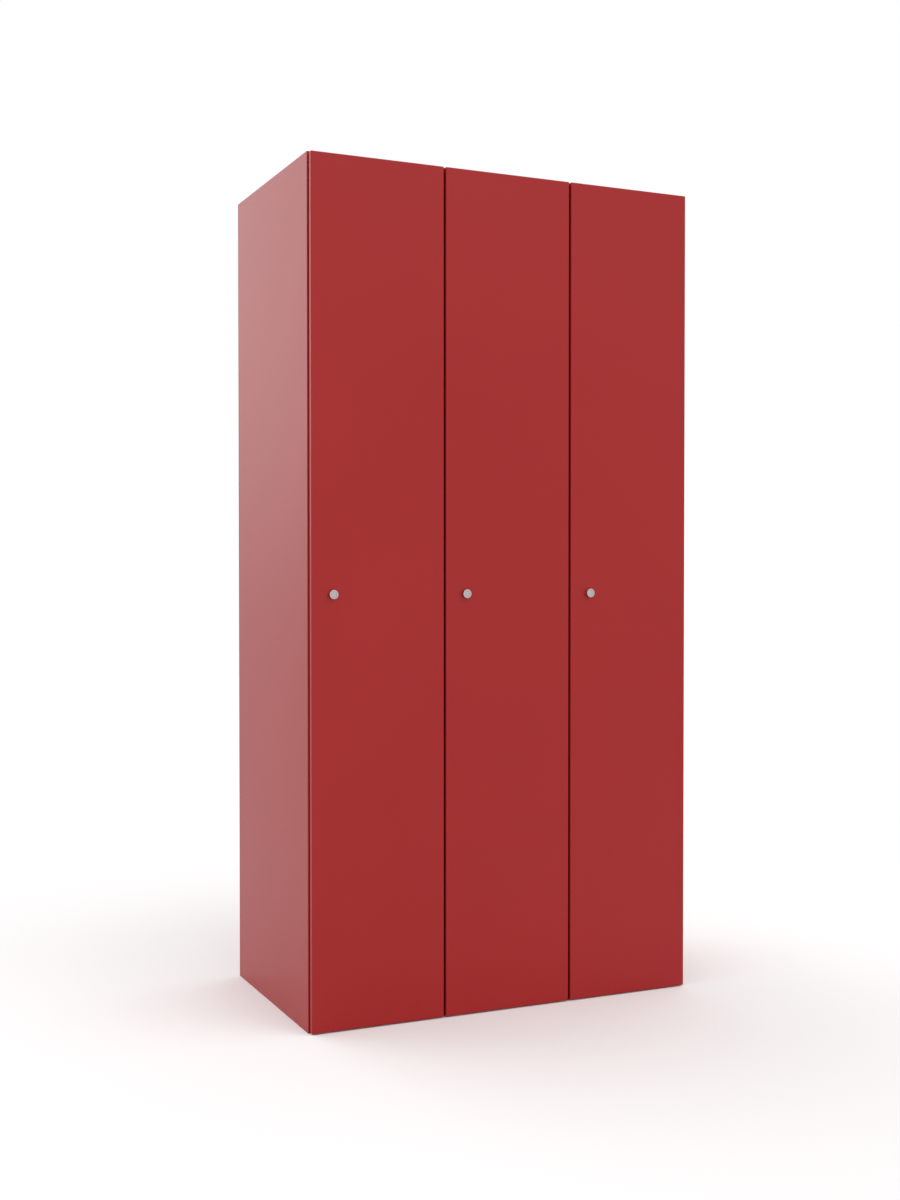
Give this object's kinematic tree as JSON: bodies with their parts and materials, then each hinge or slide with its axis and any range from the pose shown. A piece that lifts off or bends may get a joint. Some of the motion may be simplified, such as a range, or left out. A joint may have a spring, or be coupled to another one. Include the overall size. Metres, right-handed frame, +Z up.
{
  "type": "locker bank",
  "caption": "Tall sheet-steel locker bank with plain full-height overlay doors side by side, pin hinges, cam locks, and a hat shelf with clothes rail in each column.",
  "frame": {"origin": "on the floor, under the middle of the overall box", "axes": "+Z up, doors and locks facing -Y, +X to the right seen from the front"},
  "size_m": [0.9, 0.514, 1.8],
  "materials": {
    "red_paint": "semi-gloss powder coat",
    "hinge_steel": "zinc plated",
    "rail_steel": "bright plated",
    "lock_nickel": "satin nickel",
    "buffer_rubber": "matt"
  },
  "bodies": {
    "cabinet": {"left_side_panel": "red_paint", "right_side_panel": "red_paint", "back_panel": "red_paint", "top_panel": "red_paint", "floor_panel": "red_paint", "front_post_1": "red_paint", "front_post_2": "red_paint", "divider_1": "red_paint", "divider_2": "red_paint", "hat_shelf_1": "red_paint", "hat_shelf_2": "red_paint", "hat_shelf_3": "red_paint", "clothes_rail_1": "rail_steel", "clothes_rail_2": "rail_steel", "clothes_rail_3": "rail_steel", "hinge_frame_leaf_lower_1": "hinge_steel", "hinge_frame_leaf_upper_1": "hinge_steel", "hinge_frame_leaf_lower_2": "hinge_steel", "hinge_frame_leaf_upper_2": "hinge_steel", "hinge_frame_leaf_lower_3": "hinge_steel", "hinge_frame_leaf_upper_3": "hinge_steel", "door_buffer_lower_1": "buffer_rubber", "door_buffer_upper_1": "buffer_rubber", "door_buffer_lower_2": "buffer_rubber", "door_buffer_upper_2": "buffer_rubber", "door_buffer_lower_3": "buffer_rubber", "door_buffer_upper_3": "buffer_rubber"},
    "door_1": {"door_skin_1": "red_paint", "door_stiffener_1": "red_paint", "hinge_door_leaf_lower_1": "hinge_steel", "hinge_door_leaf_upper_1": "hinge_steel", "hinge_pin_lower_1": "hinge_steel", "hinge_pin_upper_1": "hinge_steel", "lock_housing_1": "lock_nickel", "lock_nut_1": "lock_nickel"},
    "door_2": {"door_skin_2": "red_paint", "door_stiffener_2": "red_paint", "hinge_door_leaf_lower_2": "hinge_steel", "hinge_door_leaf_upper_2": "hinge_steel", "hinge_pin_lower_2": "hinge_steel", "hinge_pin_upper_2": "hinge_steel", "lock_housing_2": "lock_nickel", "lock_nut_2": "lock_nickel"},
    "door_3": {"door_skin_3": "red_paint", "door_stiffener_3": "red_paint", "hinge_door_leaf_lower_3": "hinge_steel", "hinge_door_leaf_upper_3": "hinge_steel", "hinge_pin_lower_3": "hinge_steel", "hinge_pin_upper_3": "hinge_steel", "lock_housing_3": "lock_nickel", "lock_nut_3": "lock_nickel"},
    "lock_1": {"lock_plug_1": "lock_nickel", "lock_cam_1": "hinge_steel", "cam_screw_1": "hinge_steel"},
    "lock_2": {"lock_plug_2": "lock_nickel", "lock_cam_2": "hinge_steel", "cam_screw_2": "hinge_steel"},
    "lock_3": {"lock_plug_3": "lock_nickel", "lock_cam_3": "hinge_steel", "cam_screw_3": "hinge_steel"}
  },
  "joints": [
    {"name": "door_1_swing", "type": "hinge", "parent": "cabinet", "child": "door_1", "pos_m": [-0.157, -0.2422, 0.9], "axis": [0, 0, 1], "range_deg": [0, 110]},
    {"name": "door_2_swing", "type": "hinge", "parent": "cabinet", "child": "door_2", "pos_m": [0.143, -0.2422, 0.9], "axis": [0, 0, 1], "range_deg": [0, 110]},
    {"name": "door_3_swing", "type": "hinge", "parent": "cabinet", "child": "door_3", "pos_m": [0.443, -0.2422, 0.9], "axis": [0, 0, 1], "range_deg": [0, 110]},
    {"name": "lock_1_turn", "type": "hinge", "parent": "door_1", "child": "lock_1", "pos_m": [-0.4015, -0.248, 0.9], "axis": [0, 1, 0], "range_deg": [0, 90]},
    {"name": "lock_2_turn", "type": "hinge", "parent": "door_2", "child": "lock_2", "pos_m": [-0.1015, -0.248, 0.9], "axis": [0, 1, 0], "range_deg": [0, 90]},
    {"name": "lock_3_turn", "type": "hinge", "parent": "door_3", "child": "lock_3", "pos_m": [0.1985, -0.248, 0.9], "axis": [0, 1, 0], "range_deg": [0, 90]}
  ]
}
